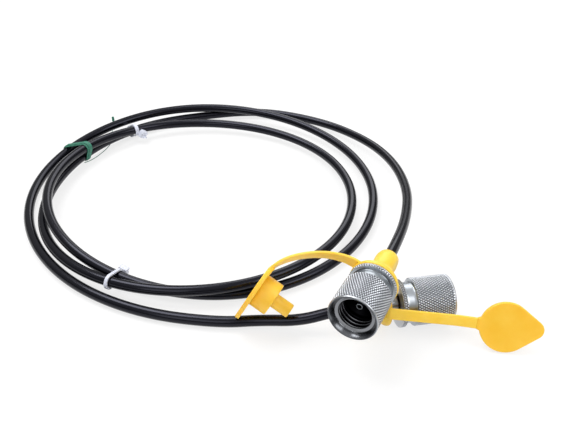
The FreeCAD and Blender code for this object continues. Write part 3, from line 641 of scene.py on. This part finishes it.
# Twist in degrees at shares of the arch's length, smoothed over nine points.
twist = np.radians(np.interp(
    np.linspace(0, 1, arch_count), [0, 0.12, 0.25, 0.45, 0.7, 0.85, 1.0], [0, -12, -27, -34, -41, -48, -60]
))
twist = np.convolve(np.pad(twist, 4, "edge"), np.ones(9) / 9, "valid")[:, None]
onward = directions_along(line_a)
level = square_to(np.tile(cap["a"][:3, 2], (arch_count, 1)), onward)
way_a = level * np.cos(twist) + np.cross(onward, level) * np.sin(twist)
points, faces = band(line_a[:lug_end + 1], way_a[:lug_end + 1], np.linspace(1.3, 1.0, lug_end + 1))
mesh_piece("yellow_lug_a", points, faces, shaded_yellow, "cap_a")
points, faces = band(line_a[lug_end - 2:], way_a[lug_end - 2:], np.ones(arch_count - lug_end + 2))
strap = mesh_piece("yellow_strap_a", points, faces, yellow_material, "strap_a")
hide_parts("cap_strap_a")

# Strap B in its cap's plane: a short lead, an arc of 8.5 degrees and a straight run.
strap_end, strap_lead, bend_radius, bend = 12.5, 2.4, 60.0, math.radians(8.5)
turned = bend * np.linspace(0.1, 1, 8)
arc = np.column_stack([
    -bend_radius * (1 - np.cos(turned)), -strap_end - strap_lead - bend_radius * np.sin(turned)
])
run = arc[-1] + np.outer(np.linspace(1.6, 26.5, 16), [-math.sin(bend), -math.cos(bend)])
flat_line = np.vstack([[(0, 0.9 - strap_end), (0, -strap_end), (0, -strap_end - strap_lead)], arc, run])
line_b = placed(np.column_stack([flat_line, np.zeros(len(flat_line))]), cap["b"]) / millimetre
way_b = np.tile(cap["b"][:3, 2], (len(line_b), 1))
points, faces = band(line_b, way_b, np.ones(len(line_b)))
strap = mesh_piece("yellow_strap_b", points, faces, yellow_material, "strap_b")
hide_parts("cap_strap_b")

# A tongue leaves the end of its strap in the strap's direction and widens halfway to the axis.
tongue_count, tongue_flare = 10, 1.1
for end, line, way, depth in (("a", line_a, way_a[-1], 2.4), ("b", line_b, way_b[-1], 1.0)):
    root = line[-2]
    onward = (line[-1] - root) / np.linalg.norm(line[-1] - root)
    foot = (on_axis(end, collar_depth[end] + depth) + root) / 2
    reach = np.linalg.norm(foot - root)
    tongue = arch(root, root + onward * reach * 0.4, foot + (root - foot) * 0.3, foot, tongue_count)
    spread = 1.0 + tongue_flare * np.linspace(0, 1, tongue_count) ** 2
    points, faces = band(tongue, np.tile(way, (tongue_count, 1)), spread)
    mesh_piece(f"yellow_tongue_{end}", points, faces, yellow_material, "hose")


# Cable ties
# Moulded nylon ties: a band drawn tight round two strands of the coil, a ratchet head that lies on it
# askew, and the clipped tail that stands out of the head.
tie_thickness, tie_clearance = 0.9, 0.7
# Bearing of the coil, width of the band, and the head's bearing round the band, shift along the coil
# and turn about the outward direction.
ties = {
    "cable_tie_back": (128.0, 2.1, 200.0, 2.6, -38.0),
    "cable_tie_front": (247.0, 1.45, 188.0, 0.6, 12.0),
}
# Half lengths, height above the band and edge radius of the head, its window's frame and the tail.
head_blocks = (
    ((2.3, 1.6, 2.3), 1.6, 0.55),
    ((1.5, 0.35, 1.7), 3.25, 0.3),
    ((0.4, 1.3, 1.25), 3.9, 0.15),
)

# Natural nylon, moulded: milky and a little bluish, with light going 1 mm in.
nylon_material, shader = new_material(
    "white_nylon", Base_Color=srgb("CBCEDA"), Subsurface_Weight=0.25,
    Subsurface_Radius=(0.001, 0.001, 0.001), Subsurface_Scale=1.0,
)
uneven_skin(nylon_material, shader, 2.0, 2.0, smooth=0.28, dull=0.44, grain=2.0, strength=0.08)


def loop_round(bearing, turns, clearance):
    """Line drawn tight round the hose's strands at one bearing of the coil, a clearance off them, with
    its outward directions, its axis, the strands' middles and the plane's two directions in space. At
    each of 180 directions the line touches the strand that reaches furthest that way, and it goes
    straight from one strand to the next."""
    bearing_turned = math.radians(bearing)
    outward = np.array([math.cos(bearing_turned), math.sin(bearing_turned), 0.0])
    places = coil_line((bearing - coil_start_bearing) / 90 + 4 * np.array(turns))
    flat = np.column_stack([(places - coil_centre) @ outward, places[:, 2]])
    ways = np.linspace(0, 2 * math.pi, 181)[:-1]
    directions = np.column_stack([np.cos(ways), np.sin(ways)])
    support = (flat @ directions.T).argmax(axis=0)
    corners = flat[support] + directions * (hose_radius + clearance)
    counts = np.where(support != np.roll(support, -1), 9, 1)
    index = np.repeat(np.arange(len(ways)), counts)
    share = (np.arange(len(index)) - np.repeat(np.cumsum(counts) - counts, counts))[:, None] / 9
    path = corners[index] * (1 - share) + corners[(index + 1) % len(ways)] * share
    to_space = np.array([outward, (0.0, 0.0, 1.0)])
    axis = np.cross(outward, (0.0, 0.0, 1.0))
    return coil_centre + path @ to_space, directions[index] @ to_space, axis, flat, to_space


def ribbon_loop(path, outward, axis, widths, thickness, crease_height=0.0, crease_rate=0.0):
    """Points and faces of a closed flat band. Its middle runs along a path, with the outward direction
    at each point, the band's width at each point, and the axis that the width runs along. Creases are a
    cosine across its outer side, whose angle gains the rate from edge to edge."""
    across = np.linspace(-0.5, 0.5, 13)
    top = np.column_stack([across, np.full(13, 0.5)])
    outline = np.vstack([
        top, [(0.5, 0.2), (0.5, -0.2)], top[::-1] * (1, -1), [(-0.5, -0.2), (-0.5, 0.2)]
    ])
    crease = np.where(outline[:, 1] > 0.4, crease_height * np.cos(outline[:, 0] * crease_rate), 0.0)
    points = (
        path[:, None, :]
        + axis * (outline[None, :, :1] * np.reshape(widths, (-1, 1, 1)))
        + outward[:, None, :] * (outline[None, :, 1:] * thickness + crease[None, :, None])
    )
    faces = grid_faces(len(path), len(outline), wrap_rows=True, wrap_columns=True)[:, ::-1]
    return points.reshape(-1, 3), faces


def rounded_box(half, radius, count=7):
    """Points and faces of a box with rounded edges, from its half lengths: a cube's grid, drawn in to
    the core of the box, and from there a radius outwards."""
    half = np.array(half, float)
    step = np.tan(np.linspace(-math.pi / 4, math.pi / 4, count))
    points, faces = [], []
    for number, (axis, side) in enumerate((axis, side) for axis in range(3) for side in (-1, 1)):
        grid = np.zeros((count, count, 3))
        grid[..., axis] = side
        grid[..., (axis + 1) % 3] = step[:, None] * side
        grid[..., (axis + 2) % 3] = step[None, :]
        core = np.clip(grid * half, radius - half, half - radius)
        away = grid * half - core
        away /= np.maximum(np.linalg.norm(away, axis=-1, keepdims=True), 1e-9)
        points.append((core + away * radius).reshape(-1, 3))
        faces.append(grid_faces(count, count, start=number * count * count)[:, ::-1])
    return np.vstack(points), np.vstack(faces)


for name, (bearing, width, head_bearing, shift, head_turn) in ties.items():
    path, normals, axis, flat, to_space = loop_round(bearing, (0, 1), tie_clearance)
    points, faces = ribbon_loop(path, normals, axis, np.full(len(path), width), tie_thickness)
    head_way = math.radians(head_bearing)
    out_flat = np.array([math.cos(head_way), math.sin(head_way)])
    outward = out_flat @ to_space
    along = np.cross(axis, outward)
    base = coil_centre + (flat[1] + out_flat * (hose_radius + tie_clearance)) @ to_space + axis * shift
    cosine, sine = math.cos(math.radians(head_turn)), math.sin(math.radians(head_turn))
    turn = np.array([along * cosine + axis * sine, outward, axis * cosine - along * sine])
    for half, height, radius in head_blocks:
        block, sides = rounded_box(half, radius)
        faces = np.vstack([faces, sides + len(points)])
        points = np.vstack([points, (block + (0.0, height, 0.0)) @ turn + base])
    tie = mesh_piece(f"nylon_{name}", points * millimetre, faces, nylon_material, "hose")
    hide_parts(name)


# Twist tie
# Green coated paper over a thin wire, wound twice round all three strands and creased lengthwise. At
# one end the bare wire has come out in a long bow, and a short stub of paper is left on its tip.
ribbon_bearing, ribbon_clearance = 154.5, 0.3
# The ribbon lies flat on top and is pulled narrow below. It has its full width this far above its foot.
full_width_height = 6.0
wire_radius = 0.22
stub_place = (-155.2, 178.2, 7.2)

# Coated paper, dull, its tone drifting darker and paler from patch to patch. The wire's coating is paler and
# smoother.
green_material, shader = new_material("green_paper_ribbon")
uneven_skin(green_material, shader, 1.4286, 3.0, smooth=0.5, dull=0.7, tones=("23624E", "36806A"))
wire_material, shader = new_material("green_coated_wire", Base_Color=srgb("6E9486"), Roughness=0.45)

path, normals, axis, *_ = loop_round(ribbon_bearing, (0, 1, 2), ribbon_clearance)
high = ((path[:, 2] - path[:, 2].min()) / full_width_height).clip(0, 1)
points, faces = ribbon_loop(path, normals, axis, 2.5 + 1.0 * high, 0.5, crease_height=0.1, crease_rate=19)
outer_path = path + normals * 0.3 + axis * 0.7
outer, outer_faces = ribbon_loop(
    outer_path, normals, axis, 1.6 + 0.9 * high, 0.35, crease_height=0.08, crease_rate=13
)
faces = np.vstack([faces, outer_faces + len(points)])
points = np.vstack([points, outer])
ribbon = mesh_piece("paper_ribbon", points * millimetre, faces, green_material, "hose")
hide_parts("twist_tie_ribbon")

wire_line = np.array([
    (-163.2, 134.2, 1.3), (-160.9, 138.0, 0.4), (-157.6, 143.6, 0.4), (-154.3, 152.6, 0.4),
    (-152.9, 161.5, 0.4), (-154.6, 169.5, 0.4), (-156.2, 176.2, 0.6), (-155.4, 178.0, 3.0),
    (-155.2, 178.2, 6.0),
])
# Cutting each corner a quarter of the way in, three times, makes the bow smooth.
for _ in range(3):
    cut = np.empty((2 * len(wire_line) - 2, 3))
    cut[0::2] = wire_line[:-1] * 0.75 + wire_line[1:] * 0.25
    cut[1::2] = wire_line[:-1] * 0.25 + wire_line[1:] * 0.75
    wire_line = np.vstack([wire_line[:1], cut, wire_line[-1:]])
onward = directions_along(wire_line)
aside = np.cross(onward, (0.3, 0.2, 0.93))
aside /= np.linalg.norm(aside, axis=1, keepdims=True)
over = np.cross(onward, aside)
sides = 8
ways = np.linspace(0, 2 * math.pi, sides, endpoint=False)[None, :, None]
points = wire_line[:, None, :] + wire_radius * (
    aside[:, None, :] * np.cos(ways) + over[:, None, :] * np.sin(ways)
)
points, faces = points.reshape(-1, 3), grid_faces(len(wire_line), sides, wrap_columns=True).tolist()
faces += [list(range(sides))[::-1], list(range(len(points) - sides, len(points)))]
wire = mesh_piece("twist_wire", points * millimetre, faces, wire_material, "hose")
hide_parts("twist_tie_wire")
points, faces = rounded_box((0.75, 0.45, 1.6), 0.2)
mesh_piece("paper_end", (points + stub_place) * millimetre, faces, green_material, "hose")


# Floor and light
# A sheet of white paper under the part, four soft lamps round it and a surround that is darker low
# down. Camera and mirrored rays see the sheet one quarter as paper and the rest as plain white, so that
# the shadows stay faint, and far out it is all white and shows no edge.
floor_half = 3
floor_material, shader = new_material("white_paper_floor", Base_Color=srgb("F4F4F4"), Roughness=0.9)
white = add_node(floor_material, "ShaderNodeEmission", {"Color": srgb("FFFFFF"), "Strength": 1.0})
rays = add_node(floor_material, "ShaderNodeLightPath").outputs
seen = add_node(
    floor_material, "ShaderNodeMath", {0: rays["Is Camera Ray"], 1: rays["Is Glossy Ray"]},
    operation="MAXIMUM",
)
place_on = add_node(floor_material, "ShaderNodeTexCoord").outputs["Object"]
away = add_node(floor_material, "ShaderNodeVectorMath", {0: place_on}, operation="LENGTH")
whiteness = add_node(
    floor_material, "ShaderNodeMapRange",
    {"Value": away.outputs["Value"], "From Min": 0.3, "From Max": 0.9, "To Min": 0.75, "To Max": 1.0},
)
share = add_node(
    floor_material, "ShaderNodeMath", {0: seen.outputs["Value"], 1: whiteness.outputs["Result"]},
    operation="MULTIPLY",
)
add_node(
    floor_material, "ShaderNodeMixShader",
    {0: share.outputs["Value"], 1: shader.outputs["BSDF"], 2: white.outputs["Emission"]},
    {"Shader": floor_material.node_tree.nodes["Material Output"].inputs["Surface"]},
)
floor_mesh = bpy.data.meshes.new("floor")
floor_mesh.from_pydata([
    (-floor_half, -floor_half, 0), (floor_half, -floor_half, 0),
    (floor_half, floor_half, 0), (-floor_half, floor_half, 0),
], [], [(0, 1, 2, 3)])
floor_mesh.update()
floor = bpy.data.objects.new("floor", floor_mesh)
floor.data.materials.append(floor_material)
bpy.context.scene.collection.objects.link(floor)

# Where each lamp stands and points, its size in metres and its power in watts.
for name, spot, target, size, energy in (
    ("key lamp", (-0.35, 0.25, 0.75), (-0.05, 0.05, 0.0), 0.45, 4.3),
    ("fill lamp", (0.55, -0.25, 0.6), (0.0, 0.0, 0.0), 0.5, 2.6),
    ("front lamp", (-0.3, -0.6, 0.45), (0.0, 0.0, 0.0), 0.4, 0.9),
    ("back lamp", (0.05, 0.75, 0.5), (-0.05, 0.05, 0.0), 0.5, 2.0),
):
    lamp_data = bpy.data.lights.new(name, "AREA")
    lamp_data.size = size
    lamp_data.energy = energy
    lamp = bpy.data.objects.new(name, lamp_data)
    lamp.location = spot
    lamp.rotation_euler = (Vector(target) - Vector(spot)).to_track_quat("-Z", "Y").to_euler()
    bpy.context.scene.collection.objects.link(lamp)

# The surround rises from a strength of 0.12 at the ground to 0.8 overhead, and the camera sees it white.
world = bpy.data.worlds.new("world")
world.use_nodes = True
bpy.context.scene.world = world
surround = world.node_tree.nodes["Background"]
surround.inputs["Color"].default_value = srgb("FFFFFF")
sky_way = add_node(world, "ShaderNodeTexCoord").outputs["Generated"]
upwards = add_node(world, "ShaderNodeSeparateXYZ", {"Vector": sky_way}).outputs["Z"]
rising = add_node(
    world, "ShaderNodeMapRange",
    {"Value": upwards, "From Min": 0.0, "From Max": 0.9, "To Min": 0.12, "To Max": 0.8},
).outputs["Result"]
by_camera = add_node(world, "ShaderNodeLightPath").outputs["Is Camera Ray"]
add_node(
    world, "ShaderNodeMix", {"Factor": by_camera, "A": rising, "B": 1.0},
    {"Result": surround.inputs["Strength"]},
)
bpy.context.scene.view_settings.view_transform = "Standard"
